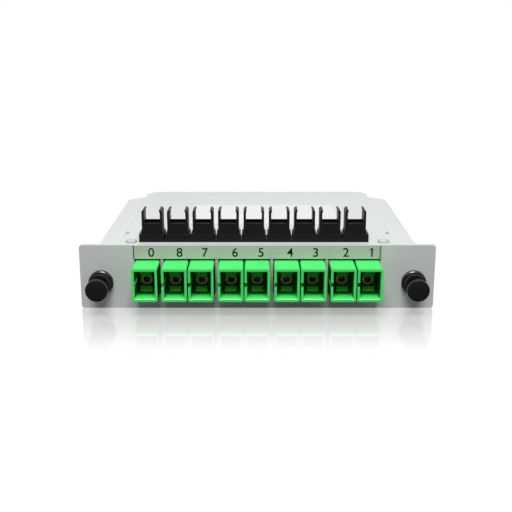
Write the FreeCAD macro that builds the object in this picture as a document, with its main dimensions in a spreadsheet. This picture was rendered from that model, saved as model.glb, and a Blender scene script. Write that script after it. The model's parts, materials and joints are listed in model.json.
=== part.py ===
import FreeCAD, Part
import math
import os
import re
import Sketcher
from FreeCAD import Vector

# A 1x8 planar fibre splitter built as a plug-in card. A sheet-metal box slides into a chassis on its
# two side flanges, and two push-pull plungers in the front panel lock it there. Nine SC/APC adapters
# stand in the panel: the input on the left, then outputs 8 to 1. Inside, nine plugs sit in the rear of
# the adapters, and their leads run over a stored coil to the splitter chip.
#
# Frame: +X to the right of someone facing the panel, +Y into the box, +Z up. The origin lies in the
# middle of the card, in the panel's rear face, on the underside of the tray. Lengths are millimetres.

SIZES = [
    # front panel
    ("panel_high", 24.0),
    ("panel_thick", 2.0),
    ("panel_corner", 1.1),
    ("panel_end", 7.6),
    # tray and cover, folded and pressed from one gauge of sheet
    ("sheet_thick", 1.0),
    ("tray_deep", 100.0),
    ("tray_end", 10.65),
    ("flange_wide", 9.4),
    ("flange_level", 20.4),
    ("flange_corner", 9.0),
    ("bend_inside", 0.5),
    ("platform_rise", 3.1),
    ("platform_slope", 2.0),
    ("platform_corner", 6.0),
    ("tongue_along", 18.3),
    ("tongue_long", 2.2),
    ("tongue_sunk", 0.8),
    ("slot_gap", 0.4),
    ("tab_high", 17.5),
    # cover screws and the threaded posts they run into
    ("screw_along", 5.0),
    ("screw_radius", 1.0),
    ("screw_long", 7.0),
    ("screw_head_radius", 2.2),
    ("screw_head_high", 0.5),
    ("recess_wide", 0.6),
    ("recess_long", 2.4),
    ("recess_deep", 0.35),
    ("post_radius", 2.0),
    ("post_gap", 0.1),
    ("thread_gap", 0.05),
    # labels
    ("strip_thick", 0.25),
    ("strip_end", 0.7),
    ("strip_margin", 0.1),
    ("label_wide", 60.0),
    ("label_deep", 35.5),
    ("label_thick", 0.15),
    ("label_offset", 3.0),
    ("label_front", 33.0),
    ("label_corner", 1.0),
    # parking comb
    ("comb_offset", -1.3),
    ("comb_front", 4.2),
    ("comb_deep", 7.8),
    ("comb_base_high", 3.05),
    ("comb_margin", 1.05),
    ("clip_pitch", 9.4),
    ("clip_wide", 7.6),
    ("clip_root_wide", 8.0),
    ("clip_root_high", 0.8),
    ("clip_inset", 0.7),
    ("clip_deep", 7.0),
    ("clip_deck_high", 4.0),
    ("prong_thick", 0.85),
    ("prong_high", 4.85),
    ("prong_bead", 0.25),
    ("prong_shoulder", 0.6),
    ("cradle_lip", 0.6),
    ("cradle_sunk", 0.7),
    ("slit_wide", 0.5),
    ("slit_floor", 0.8),
    # plungers and grommets
    ("plunger_side", 6.6),
    ("plunger_height", 10.0),
    ("plunger_travel", 5.2),
    ("knob_radius", 4.0),
    ("knob_thick", 2.2),
    ("knob_edge", 0.35),
    ("neck_radius", 2.2),
    ("shaft_radius", 1.62),
    ("grommet_flange_radius", 4.55),
    ("grommet_flange_thick", 1.5),
    ("grommet_collar_radius", 3.6),
    ("grommet_collar_long", 2.0),
    ("grommet_neck_radius", 2.9),
    ("grommet_radius", 3.1),
    ("grommet_leg_long", 9.0),
    ("grommet_edge", 0.4),
    ("grommet_slot_wide", 1.0),
    ("grommet_hole_gap", 0.1),
    ("shaft_gap", 0.08),
    ("neck_gap", 0.3),
    ("stop_gap", 0.3),
    # adapter housings
    ("housing_wide", 9.1),
    ("housing_high", 12.3),
    ("housing_long", 27.4),
    ("housing_proud", 11.0),
    ("housing_edge", 0.5),
    ("mouth_wide", 7.2),
    ("mouth_high", 9.9),
    ("mouth_edge", 0.3),
    ("axis_height", 12.05),
    ("twin_gap", 0.4),
    ("pair_gap", 1.1),
    ("input_gap", 1.4),
    ("window_side_gap", 0.2),
    ("window_top_gap", 0.6),
    ("collar_proud", 1.2),
    ("collar_thick", 1.4),
    ("collar_gap", 0.3),
    ("keyway_high", 1.8),
    ("keyway_deep", 8.0),
    # latch carriers, split sleeves, plugs and ferrules
    ("carrier_gap", 0.05),
    ("carrier_plate_thick", 2.0),
    ("tube_radius", 2.15),
    ("tube_long", 11.8),
    ("tube_lip", 0.4),
    ("tube_lip_radius", 1.3),
    ("arm_inner", 2.9),
    ("arm_thick", 0.85),
    ("arm_wide", 4.3),
    ("arm_reach", 8.7),
    ("hook_inner", 2.0),
    ("hook_long", 1.5),
    ("hook_ramp", 0.9),
    ("sleeve_long", 11.0),
    ("sleeve_wall", 0.32),
    ("sleeve_gap", 0.02),
    ("sleeve_slot", 0.5),
    ("ferrule_radius", 1.25),
    ("ferrule_gap", 0.01),
    ("ferrule_long", 12.0),
    ("plug_gap", 0.1),
    ("plug_high", 9.3),
    ("plug_front", 6.2),
    ("plug_latch_gap", 0.15),
    ("plug_socket_long", 6.0),
    ("grip_wide", 8.6),
    ("grip_high", 10.6),
    ("grip_clear", 0.5),
    ("grip_long", 11.3),
    ("grip_edge", 0.8),
    ("boot_long", 12.5),
    ("boot_radius", 3.0),
    ("boot_end_radius", 1.3),
    # fibres and the splitter chip
    ("lead_radius", 0.45),
    ("lead_bend", 12.0),
    ("lead_straight", 1.0),
    ("lead_end_gap", 0.05),
    ("ribbon_pitch", 0.95),
    ("lead_run_out", 3.14),
    ("coil_deep", 32.0),
    ("coil_side_gap", 1.8),
    ("coil_band", 4.5),
    ("coil_high", 3.0),
    ("coil_corner", 14.0),
    ("module_long", 60.0),
    ("module_wide", 8.4),
    ("module_high", 4.0),
    ("module_edge", 0.5),
    ("saddle_wide", 4.0),
    ("saddle_wall", 1.2),
    ("saddle_gap", 0.25),
]

# Places that follow from the sizes. Each one is worked out here once, and every piece that meets
# there takes it from this list.
PLACES = {
    "twin_pitch": "(housing_wide + twin_gap)",
    "pair_pitch": "(2 * twin_pitch + pair_gap)",
    "input_step": "(housing_wide + input_gap + twin_pitch / 2)",
    "outer_reach": "((input_step + 3 * pair_pitch + twin_pitch / 2) / 2)",
    "last_pair": "(outer_reach - twin_pitch / 2)",
    "first_pair": "(last_pair - 3 * pair_pitch)",
    "tray_half": "(outer_reach + tray_end)",
    "flange_half": "(tray_half + flange_wide)",
    "plunger_reach": "(tray_half + plunger_side)",
    "panel_half": "(plunger_reach + panel_end)",
    "panel_front": "(0 - panel_thick)",
    "tray_top": "(flange_level - sheet_thick)",
    "wall_inside": "(tray_half - sheet_thick)",
    "bend_outside": "(bend_inside + sheet_thick)",
    "cover_top": "(flange_level + platform_rise)",
    "cover_under": "(cover_top - sheet_thick)",
    "platform_foot": "(tray_half + platform_slope)",
    "slope_wall": "(sheet_thick * sqrt(1 + pow(platform_slope / platform_rise; 2)))",
    "housing_middle": "(housing_long / 2 - panel_thick - housing_proud)",
    "window_half": "(housing_high / 2 + window_top_gap)",
    "window_top": "(axis_height + window_half)",
    "collar_half": "(housing_high / 2 + collar_proud)",
    "lip_top": "(axis_height - collar_half - collar_gap)",
    "tab_inner": "(outer_reach + housing_wide / 2 + 2 * collar_gap)",
    "screw_reach": "(outer_reach + housing_wide / 2 + post_gap + post_radius)",
    "tongue_front": "(tongue_along - tongue_long / 2)",
    "tongue_back": "(tongue_along + tongue_long / 2)",
    "strip_half": "(outer_reach + housing_wide / 2 + strip_end)",
    "comb_top": "(cover_top + comb_base_high)",
    "deck_top": "(comb_top + clip_deck_high)",
    "prong_top": "(deck_top + prong_high)",
    "clip_front": "(comb_front + clip_inset)",
    "first_clip": "(comb_offset - 4 * clip_pitch)",
    "comb_half": "(4 * clip_pitch + clip_wide / 2 + comb_margin)",
    "cradle_half": "(clip_wide / 2 - prong_thick)",
    "grommet_collar_front": "(panel_front - grommet_flange_thick - grommet_collar_long)",
    "knob_back": "(grommet_collar_front - stop_gap - plunger_travel)",
    "knob_front": "(knob_back - knob_thick)",
    "neck_back": "(grommet_collar_front - stop_gap)",
    "throat_front": "(neck_back + plunger_travel + stop_gap)",
    "sleeve_outside": "(ferrule_radius + ferrule_gap + sleeve_wall + sleeve_gap)",
    "plug_wide": "(mouth_wide - 2 * plug_gap)",
    "grip_front": "(housing_long / 2 + grip_clear)",
    "boot_front": "(grip_front + grip_long)",
    "lead_start": "(housing_middle + boot_front + boot_long)",
    "lead_level": "(sheet_thick + coil_high / 2)",
    "lead_dip": "(2 * lead_bend * sin(acos(1 - (axis_height - lead_level) / (2 * lead_bend))))",
    "coil_front": "(lead_start + lead_straight + lead_dip + lead_run_out)",
    "coil_back": "(coil_front + coil_deep)",
    "coil_half": "(wall_inside - coil_side_gap)",
    "module_middle": "(coil_front + coil_deep / 2)",
    "saddle_reach": "(saddle_gap + saddle_wall)",
    "saddle_top": "(sheet_thick + coil_high + saddle_reach)",
}

PORTS = range(1, 9)

# Small round pieces that repeat at every port are drawn with this many flats.
PORT_SIDE_COUNT = 12
TUBE_SIDE_COUNT = 16
LEAD_SIDE_COUNT = 6

doc = FreeCAD.newDocument("plc_fibre_splitter")
sheet = doc.addObject("Spreadsheet::Sheet", "Sizes")
for row, (alias, value) in enumerate(SIZES, start=1):
    sheet.set("A%d" % row, alias)
    sheet.set("B%d" % row, str(value))
    sheet.setAlias("B%d" % row, alias)
doc.recompute()

ALIASES = [alias for alias, value in SIZES]
WORD = re.compile(r"[a-z]+(?:_[a-z]+)+")
NODES = []


# ---------------------------------------------------------------- helpers


def spelled(text):
    """An expression with every place worked out to sheet cells."""

    def swap(match):
        word = match.group()
        if word in PLACES:
            return spelled(PLACES[word])
        if word in ALIASES:
            return "Sizes." + word
        raise ValueError("no size or place is called " + word)

    return WORD.sub(swap, str(text))


def bind(thing, target, text):
    """Let the sheet drive one property of an object."""
    thing.setExpression(target, spelled(text))


def size(text):
    """A size, a place or an expression of them as a number."""
    return float(sheet.evalExpression(spelled(text)))


def body_called(label, pieces=1):
    """A new sub-part. Its label is the name of its node and file."""
    body = doc.addObject("PartDesign::Body", label)
    body.Label = label
    body.AllowCompound = pieces > 1
    NODES.append((body, pieces))
    return body


def place(part, across="0", along="0", up="0"):
    bind(part, "Placement.Base.x", across)
    bind(part, "Placement.Base.y", along)
    bind(part, "Placement.Base.z", up)


def copy_called(label, master):
    """A further copy of a sub-part, as a link with a place of its own."""
    link = doc.addObject("App::Link", label)
    link.LinkedObject = master
    link.Label = label
    NODES.append((link, 1))
    return link


def origin_of(body, role):
    return [item for item in body.Origin.OriginFeatures if item.Role == role][0]


def sketch_on(body, role, name, at="0"):
    """A sketch on one of the body's own planes, at a stated height along the row axis."""
    sketch = body.newObject("Sketcher::SketchObject", name)
    sketch.AttachmentSupport = [(origin_of(body, role), "")]
    sketch.MapMode = "FlatFace"
    sign = "0 - " if role == "XZ_Plane" else ""
    bind(sketch, "AttachmentOffset.Base.z", sign + "(" + str(at) + ")")
    return sketch


def pin(sketch, geometry, point, across, up):
    """Hold one point of the sketch at a place measured from the sketch's origin."""
    for kind, text in (("DistanceX", across), ("DistanceY", up)):
        constraint = Sketcher.Constraint(kind, -1, 1, geometry, point, 1.0)
        number = sketch.addConstraint(constraint)
        bind(sketch, "Constraints[%d]" % number, text)


def outline(sketch, corners):
    """A closed outline of straight edges. Each corner is a pair of expressions."""
    first = sketch.GeometryCount
    count = len(corners)
    ring = [2 * math.pi * i / count for i in range(count)]
    spots = [Vector(math.cos(turn), math.sin(turn), 0) for turn in ring]
    for i in range(count):
        sketch.addGeometry(Part.LineSegment(spots[i], spots[(i + 1) % count]), False)
    for i in range(count):
        following = first + (i + 1) % count
        sketch.addConstraint(Sketcher.Constraint("Coincident", first + i, 2, following, 1))
    for i, (across, up) in enumerate(corners):
        pin(sketch, first + i, 1, across, up)


def rectangle(sketch, left, right, low, high):
    outline(sketch, [(left, low), (right, low), (right, high), (left, high)])


def circle(sketch, across, up, radius):
    geometry = sketch.addGeometry(Part.Circle(Vector(0, 0, 0), Vector(0, 0, 1), 1.0), False)
    pin(sketch, geometry, 3, across, up)
    number = sketch.addConstraint(Sketcher.Constraint("Radius", geometry, 1.0))
    bind(sketch, "Constraints[%d]" % number, radius)


def ring(sketch, radius, flats):
    """A near-round outline about the sketch's origin, made of equal flats."""
    turns = [2 * math.pi * i / flats for i in range(flats)]
    scaled = "(" + radius + ") * (%.9f)"
    outline(sketch, [(scaled % math.cos(turn), scaled % math.sin(turn)) for turn in turns])


def hexagon(sketch, across, up, radius):
    """A hexagon with two of its corners level with its middle."""
    reach = "(" + radius + ")"
    high = reach + " * sqrt(3) / 2"
    spots = [(reach, "0"), (reach + " / 2", high), (mirrored(reach + " / 2"), high)]
    spots += [(mirrored(one), mirrored(other)) for one, other in spots]
    outline(sketch, [(across + " + " + one, up + " + " + other) for one, other in spots])


def round_backed(sketch, half, back, corner):
    """A rectangle from the panel back, with its two back corners rounded."""
    spots = [Vector(*spot, 0) for spot in ((-2, 0), (2, 0), (2, 1), (1, 2), (-1, 2), (-2, 1))]
    right = Part.Circle(Vector(1, 1, 0), Vector(0, 0, 1), 1.0)
    left = Part.Circle(Vector(-1, 1, 0), Vector(0, 0, 1), 1.0)
    quarter = math.pi / 2
    sketch.addGeometry([
        Part.LineSegment(spots[0], spots[1]),
        Part.LineSegment(spots[1], spots[2]),
        Part.ArcOfCircle(right, 0, quarter),
        Part.LineSegment(spots[3], spots[4]),
        Part.ArcOfCircle(left, quarter, 2 * quarter),
        Part.LineSegment(spots[5], spots[0]),
    ], False)
    for i in range(6):
        sketch.addConstraint(Sketcher.Constraint("Coincident", i, 2, (i + 1) % 6, 1))
    before = "(" + back + " - " + corner + ")"
    short = "(" + half + " - " + corner + ")"
    pin(sketch, 0, 1, mirrored(half), "0")
    pin(sketch, 0, 2, half, "0")
    pin(sketch, 1, 2, half, before)
    pin(sketch, 3, 1, short, back)
    pin(sketch, 3, 2, mirrored(short), back)
    pin(sketch, 5, 1, mirrored(half), before)
    for arc, across in ((2, short), (4, mirrored(short))):
        number = sketch.addConstraint(Sketcher.Constraint("DistanceX", -1, 1, arc, 3, 1.0))
        bind(sketch, "Constraints[%d]" % number, across)


def mirrored(text):
    return "0 - (" + text + ")"


def both_sides(right_half):
    """The whole of an outline from the half to the right of the sketch's upright axis."""
    left_half = [(mirrored(across), up) for across, up in reversed(right_half)]
    return right_half + left_half


def pad(body, name, sketch, length, way="normal"):
    """Add material along the sketch's normal, against it, or half to each side."""
    feature = body.newObject("PartDesign::Pad", name)
    feature.Profile = sketch
    bind(feature, "Length", length)
    feature.Reversed = way == "reversed"
    feature.Midplane = way == "both"
    finish(body, feature)
    return feature


def pocket(body, name, sketch, length, way="normal"):
    """Take material away. A pocket that points away from the solid is an error."""
    before = body.Shape.Volume
    feature = body.newObject("PartDesign::Pocket", name)
    feature.Profile = sketch
    bind(feature, "Length", length)
    feature.Reversed = way == "reversed"
    feature.Midplane = way == "both"
    finish(body, feature)
    if not feature.Shape.Volume < before:
        raise RuntimeError(name + " of " + body.Label + " cuts nothing")
    return feature


def turned(body, name, sketch):
    """A turned form about the sketch's upright axis."""
    feature = body.newObject("PartDesign::Revolution", name)
    feature.Profile = sketch
    feature.ReferenceAxis = (sketch, ["V_Axis"])
    feature.Angle = 360
    finish(body, feature)
    return feature


def row_of(body, name, originals, axis, length, count):
    """Repeat features along one of the body's axes, with the whole run's length."""
    feature = body.newObject("PartDesign::LinearPattern", name)
    feature.Originals = originals
    feature.Direction = (origin_of(body, axis), [""])
    bind(feature, "Length", length)
    feature.Occurrences = count
    finish(body, feature)
    return feature


def loft(body, name, kind, low, high):
    feature = body.newObject("PartDesign::" + kind, name)
    feature.Profile = low
    feature.Sections = [high]
    feature.Ruled = True
    finish(body, feature)
    return feature


def dress(body, name, kind, test, amount):
    """Round or chamfer the edges that pass a test."""
    base = body.Tip
    names = ["Edge%d" % (i + 1) for i, edge in enumerate(base.Shape.Edges) if test(edge)]
    if not names:
        raise RuntimeError(name + " of " + body.Label + " finds no edge")
    feature = body.newObject("PartDesign::" + kind, name)
    feature.Base = (base, names)
    bind(feature, "Radius" if kind == "Fillet" else "Size", amount)
    finish(body, feature)
    return feature


def tapered(body, name, sloping, foot, angle):
    """Lean faces inward from the plane of the face at their foot."""
    base = body.Tip
    faces = list(enumerate(base.Shape.Faces, start=1))
    feature = body.newObject("PartDesign::Draft", name)
    feature.Base = (base, ["Face%d" % number for number, face in faces if sloping(face)])
    feature.NeutralPlane = (base, ["Face%d" % number for number, face in faces if foot(face)])
    bind(feature, "Angle", angle)
    finish(body, feature)
    return feature


def finish(body, feature):
    body.Tip = feature
    doc.recompute()


def near(value, goal):
    return abs(value - goal) < 1e-4


def runs_along(edge, axis):
    """Whether an edge is straight and runs along X, Y or Z."""
    if len(edge.Vertexes) != 2 or not isinstance(edge.Curve, (Part.Line, Part.LineSegment)):
        return False
    way = edge.Vertexes[1].Point - edge.Vertexes[0].Point
    spans = {"X": abs(way.x), "Y": abs(way.y), "Z": abs(way.z)}
    return near(spans[axis], way.Length)


def middle(edge):
    return edge.BoundBox.Center


# ---------------------------------------------------------------- where the ports are


def port_across(port):
    """Place of an output port. The ports stand in pairs and are numbered from the right."""
    pair, twin = divmod(port - 1, 2)
    return "(outer_reach - %d * pair_pitch - %d * twin_pitch)" % (pair, twin)


INPUT_ACROSS = "(0 - outer_reach)"
PORT_PLACES = [("input", INPUT_ACROSS)] + [(str(port), port_across(port)) for port in PORTS]


def one_for_each_port(name, make):
    """Make a piece for the input port, and link the same piece to each output port."""
    master = make(name + "_input")
    place(master, INPUT_ACROSS, "housing_middle", "axis_height")
    for port in PORTS:
        link = copy_called("%s_%d" % (name, port), master)
        place(link, port_across(port), "housing_middle", "axis_height")


# ---------------------------------------------------------------- sheet metal


def make_front_panel():
    """Flat plate with a window for the input adapter, four for the pairs and two plunger holes."""
    body = body_called("front_panel")
    plate = sketch_on(body, "XZ_Plane", "plate")
    rectangle(plate, "0 - panel_half", "panel_half", "0", "panel_high")
    pad(body, "plate_pad", plate, "panel_thick")
    dress(body, "plate_corners", "Fillet", lambda edge: runs_along(edge, "Y"), "panel_corner")

    low = "axis_height - window_half"
    single = "(housing_wide / 2 + window_side_gap)"
    window = sketch_on(body, "XZ_Plane", "input_window")
    rectangle(window, INPUT_ACROSS + " - " + single, INPUT_ACROSS + " + " + single, low, "window_top")
    pocket(body, "input_window_cut", window, "panel_thick", "reversed")

    double = "(twin_pitch / 2 + housing_wide / 2 + window_side_gap)"
    window = sketch_on(body, "XZ_Plane", "pair_window")
    rectangle(window, "first_pair - " + double, "first_pair + " + double, low, "window_top")
    cut = pocket(body, "pair_window_cut", window, "panel_thick", "reversed")
    row_of(body, "pair_windows", [cut], "X_Axis", "3 * pair_pitch", 4)

    holes = sketch_on(body, "XZ_Plane", "plunger_holes")
    for across in ("plunger_reach", "0 - plunger_reach"):
        circle(holes, across, "plunger_height", "grommet_neck_radius + grommet_hole_gap")
    pocket(body, "plunger_holes_cut", holes, "panel_thick", "reversed")


def make_tray():
    """Folded tray: floor, walls and outward flanges from one profile, then the ends and the posts."""
    body = body_called("tray")
    profile = sketch_on(body, "XZ_Plane", "folded_section")
    outline(profile, both_sides([
        ("tray_half", "0"),
        ("tray_half", "tray_top - sheet_thick"),
        ("flange_half", "tray_top - sheet_thick"),
        ("flange_half", "tray_top"),
        ("wall_inside", "tray_top"),
        ("wall_inside", "sheet_thick"),
    ]))
    pad(body, "folded_sheet", profile, "tray_deep", "reversed")

    half = size("tray_half")
    inside = half - size("sheet_thick")
    top = size("flange_level") - size("sheet_thick")

    def outer_bend(edge):
        spot = middle(edge)
        at_floor = near(abs(spot.x), half) and near(spot.z, 0)
        at_flange = near(abs(spot.x), inside) and near(spot.z, top)
        return runs_along(edge, "Y") and (at_floor or at_flange)

    def inner_bend(edge):
        spot = middle(edge)
        at_floor = near(abs(spot.x), inside) and near(spot.z, size("sheet_thick"))
        at_flange = near(abs(spot.x), half) and near(spot.z, top - size("sheet_thick"))
        return runs_along(edge, "Y") and (at_floor or at_flange)

    dress(body, "outer_bends", "Fillet", outer_bend, "bend_outside")
    dress(body, "inner_bends", "Fillet", inner_bend, "bend_inside")

    def flange_corner(edge):
        spot = middle(edge)
        at_back = near(spot.y, size("tray_deep"))
        return runs_along(edge, "Z") and at_back and near(abs(spot.x), size("flange_half"))

    dress(body, "flange_corners", "Fillet", flange_corner, "flange_corner")

    rear = sketch_on(body, "XY_Plane", "rear_wall", "sheet_thick / 2")
    rectangle(rear, "0 - wall_inside", "wall_inside", "tray_deep - sheet_thick", "tray_deep")
    pad(body, "rear_wall_pad", rear, "tray_top - sheet_thick / 2")

    lip = sketch_on(body, "XZ_Plane", "front_lip")
    rectangle(lip, "0 - outer_reach", "outer_reach", "sheet_thick / 2", "lip_top")
    pad(body, "front_lip_pad", lip, "sheet_thick", "reversed")

    tabs = sketch_on(body, "XZ_Plane", "panel_tabs")
    rectangle(tabs, "tab_inner", "wall_inside", "bend_outside", "tab_high")
    rectangle(tabs, "0 - wall_inside", "0 - tab_inner", "bend_outside", "tab_high")
    pad(body, "panel_tabs_pad", tabs, "sheet_thick", "reversed")

    tongues = sketch_on(body, "XY_Plane", "tongues", "tray_top - bend_outside")
    rectangle(tongues, "wall_inside", "tray_half", "tongue_front", "tongue_back")
    rectangle(tongues, "0 - tray_half", "0 - wall_inside", "tongue_front", "tongue_back")
    pad(body, "tongues_pad", tongues, "cover_top - tongue_sunk - tray_top + bend_outside")

    posts = sketch_on(body, "XY_Plane", "posts", "sheet_thick / 2")
    for across in ("screw_reach", "0 - screw_reach"):
        hexagon(posts, across, "screw_along", "post_radius")
    pad(body, "posts_pad", posts, "cover_under - sheet_thick / 2")

    threads = sketch_on(body, "XY_Plane", "threads", "cover_under")
    for across in ("screw_reach", "0 - screw_reach"):
        circle(threads, across, "screw_along", "screw_radius + thread_gap")
    pocket(body, "threads_cut", threads, "screw_long")


def make_top_cover():
    """Pressed lid: a flat flange plate with a raised platform whose sides slope and corners are round."""
    body = body_called("top_cover")
    plate = sketch_on(body, "XY_Plane", "flange_plate", "tray_top")
    rectangle(plate, "0 - flange_half", "flange_half", "0", "tray_deep")
    pad(body, "flange_plate_pad", plate, "sheet_thick")

    def back_corner(edge):
        return runs_along(edge, "Z") and near(middle(edge).y, size("tray_deep"))

    dress(body, "flange_corners", "Fillet", back_corner, "flange_corner")

    low = sketch_on(body, "XY_Plane", "platform_low", "flange_level")
    round_backed(low, "platform_foot", "tray_deep", "platform_corner")
    high = sketch_on(body, "XY_Plane", "platform_high", "cover_top")
    round_backed(high, "tray_half", "(tray_deep - platform_slope)", "platform_corner")
    loft(body, "platform", "AdditiveLoft", low, high)

    spread = "platform_slope * (sheet_thick / platform_rise)"
    inward = "(slope_wall - " + spread + ")"
    inner_corner = "(platform_corner - " + inward + ")"
    low = sketch_on(body, "XY_Plane", "hollow_low", "tray_top")
    round_backed(low, "(platform_foot - " + inward + ")", "(tray_deep - " + inward + ")", inner_corner)
    high = sketch_on(body, "XY_Plane", "hollow_high", "cover_under")
    back = "(tray_deep - platform_slope - " + inward + ")"
    round_backed(high, "(tray_half - " + inward + ")", back, inner_corner)
    before = body.Shape.Volume
    loft(body, "hollow", "SubtractiveLoft", low, high)
    if not body.Shape.Volume < before:
        raise RuntimeError("the hollow of the cover cuts nothing")

    holes = sketch_on(body, "XY_Plane", "screw_holes", "cover_top")
    for across in ("screw_reach", "0 - screw_reach"):
        circle(holes, across, "screw_along", "screw_radius + slot_gap")
    pocket(body, "screw_holes_cut", holes, "sheet_thick")

    slots = sketch_on(body, "XY_Plane", "tongue_slots", "cover_top")
    near_side = "wall_inside - slot_gap"
    far_side = "tray_half + slot_gap"
    rows = ("tongue_front - slot_gap", "tongue_back + slot_gap")
    rectangle(slots, near_side, far_side, rows[0], rows[1])
    rectangle(slots, mirrored(far_side), mirrored(near_side), rows[0], rows[1])
    pocket(body, "tongue_slots_cut", slots, "platform_rise")


def make_cover_screws():
    """Two pan-head screws with a cross recess, in one node."""
    body = body_called("cover_screws", pieces=2)
    place(body, mirrored("screw_reach"), "screw_along", "cover_top")
    profile = sketch_on(body, "XZ_Plane", "screw_profile")
    outline(profile, [
        ("0", "0 - screw_long + sheet_thick"),
        ("screw_radius", "0 - screw_long + sheet_thick"),
        ("screw_radius", "0"),
        ("screw_head_radius", "0"),
        ("screw_head_radius", "screw_head_high"),
        ("0", "screw_head_high"),
    ])
    screw = turned(body, "screw", profile)
    cross = sketch_on(body, "XY_Plane", "cross", "screw_head_high")
    arm = "recess_wide / 2"
    reach = "recess_long / 2"
    corners = [(reach, arm), (arm, arm), (arm, reach)]
    low_corners = [(across, mirrored(up)) for across, up in reversed(corners)]
    outline(cross, both_sides(low_corners + corners))
    recess = pocket(body, "cross_cut", cross, "recess_deep")
    row_of(body, "both_screws", [screw, recess], "X_Axis", "2 * screw_reach", 2)


# ---------------------------------------------------------------- labels and comb


def make_marking_strip():
    """Thin printed strip between the adapter windows and the panel's top edge."""
    body = body_called("marking_strip")
    strip = sketch_on(body, "XZ_Plane", "strip", "panel_front")
    low = "window_top + strip_margin"
    rectangle(strip, "0 - strip_half", "strip_half", low, "panel_high - strip_margin")
    pad(body, "strip_pad", strip, "strip_thick")


def make_top_label():
    """Blank paper label on the cover."""
    body = body_called("top_label")
    paper = sketch_on(body, "XY_Plane", "paper", "cover_top")
    left = "label_offset - label_wide / 2"
    right = "label_offset + label_wide / 2"
    rectangle(paper, left, right, "label_front", "label_front + label_deep")
    pad(body, "paper_pad", paper, "label_thick")
    dress(body, "paper_corners", "Fillet", lambda edge: runs_along(edge, "Z"), "label_corner")


def make_parking_comb():
    """Moulded comb of nine springy U clips, which park the boots of plugs that aren't in use."""
    body = body_called("parking_comb")
    base = sketch_on(body, "XY_Plane", "base", "cover_top")
    left = "comb_offset - comb_half"
    right = "comb_offset + comb_half"
    rectangle(base, left, right, "comb_front", "comb_front + comb_deep")
    pad(body, "base_pad", base, "comb_base_high")

    clip = sketch_on(body, "XZ_Plane", "clip", "clip_front")
    right_half = [
        ("clip_root_wide / 2", "comb_top"),
        ("clip_root_wide / 2", "comb_top + clip_root_high"),
        ("clip_wide / 2", "comb_top + clip_root_high + (clip_root_wide - clip_wide) / 2"),
        ("clip_wide / 2", "prong_top"),
        ("cradle_half - prong_bead", "prong_top"),
        ("cradle_half - prong_bead", "prong_top - 2 * prong_bead"),
        ("cradle_half", "prong_top - 4 * prong_bead"),
        ("cradle_half", "deck_top"),
    ]
    corners = both_sides(right_half)
    outline(clip, [("first_clip + " + "(" + across + ")", up) for across, up in corners])
    first = pad(body, "clip_pad", clip, "clip_deep", "reversed")
    row_of(body, "clips", [first], "X_Axis", "8 * clip_pitch", 9)

    slit = sketch_on(body, "XY_Plane", "slit", "comb_top")
    spot = "(first_clip + clip_pitch / 2)"
    half = " slit_wide / 2"
    rectangle(slit, spot + " -" + half, spot + " +" + half, "comb_front", "comb_front + comb_deep")
    cut = pocket(body, "slit_cut", slit, "comb_base_high - slit_floor")
    row_of(body, "slits", [cut], "X_Axis", "7 * clip_pitch", 8)

    hollow = sketch_on(body, "XY_Plane", "cradle_hollow", "deck_top")
    left = "first_clip - cradle_half"
    right = "first_clip + cradle_half"
    back = "clip_front + clip_deep - cradle_lip"
    rectangle(hollow, left, right, "clip_front + cradle_lip", back)
    sunk = pocket(body, "cradle_hollow_cut", hollow, "cradle_sunk")
    row_of(body, "cradle_hollows", [sunk], "X_Axis", "8 * clip_pitch", 9)

    pitch = size("clip_pitch")
    start = size("first_clip")
    half_clip = size("clip_wide / 2")
    prong_top = size("prong_top")

    def from_clip(edge):
        """Distance from an edge to the middle of its clip."""
        steps = (middle(edge).x - start) / pitch
        return abs(steps - round(steps)) * pitch

    def prong_shoulder(edge):
        at_top = near(middle(edge).z, prong_top)
        return runs_along(edge, "Y") and at_top and near(from_clip(edge), half_clip)

    dress(body, "prong_shoulders", "Chamfer", prong_shoulder, "prong_shoulder")


# ---------------------------------------------------------------- plungers


def make_plunger(label):
    """Turned plunger, shown pulled out: knob, neck, and the shaft that spreads the grommet's legs."""
    body = body_called(label)
    profile = sketch_on(body, "XY_Plane", "plunger_profile")
    outline(profile, [
        ("0", "knob_front"),
        ("knob_radius - knob_edge", "knob_front"),
        ("knob_radius", "knob_front + knob_edge"),
        ("knob_radius", "knob_back"),
        ("neck_radius", "knob_back"),
        ("neck_radius", "neck_back"),
        ("shaft_radius", "neck_back"),
        ("shaft_radius", "grommet_leg_long"),
        ("0", "grommet_leg_long"),
    ])
    turned(body, "plunger", profile)
    return body


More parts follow.
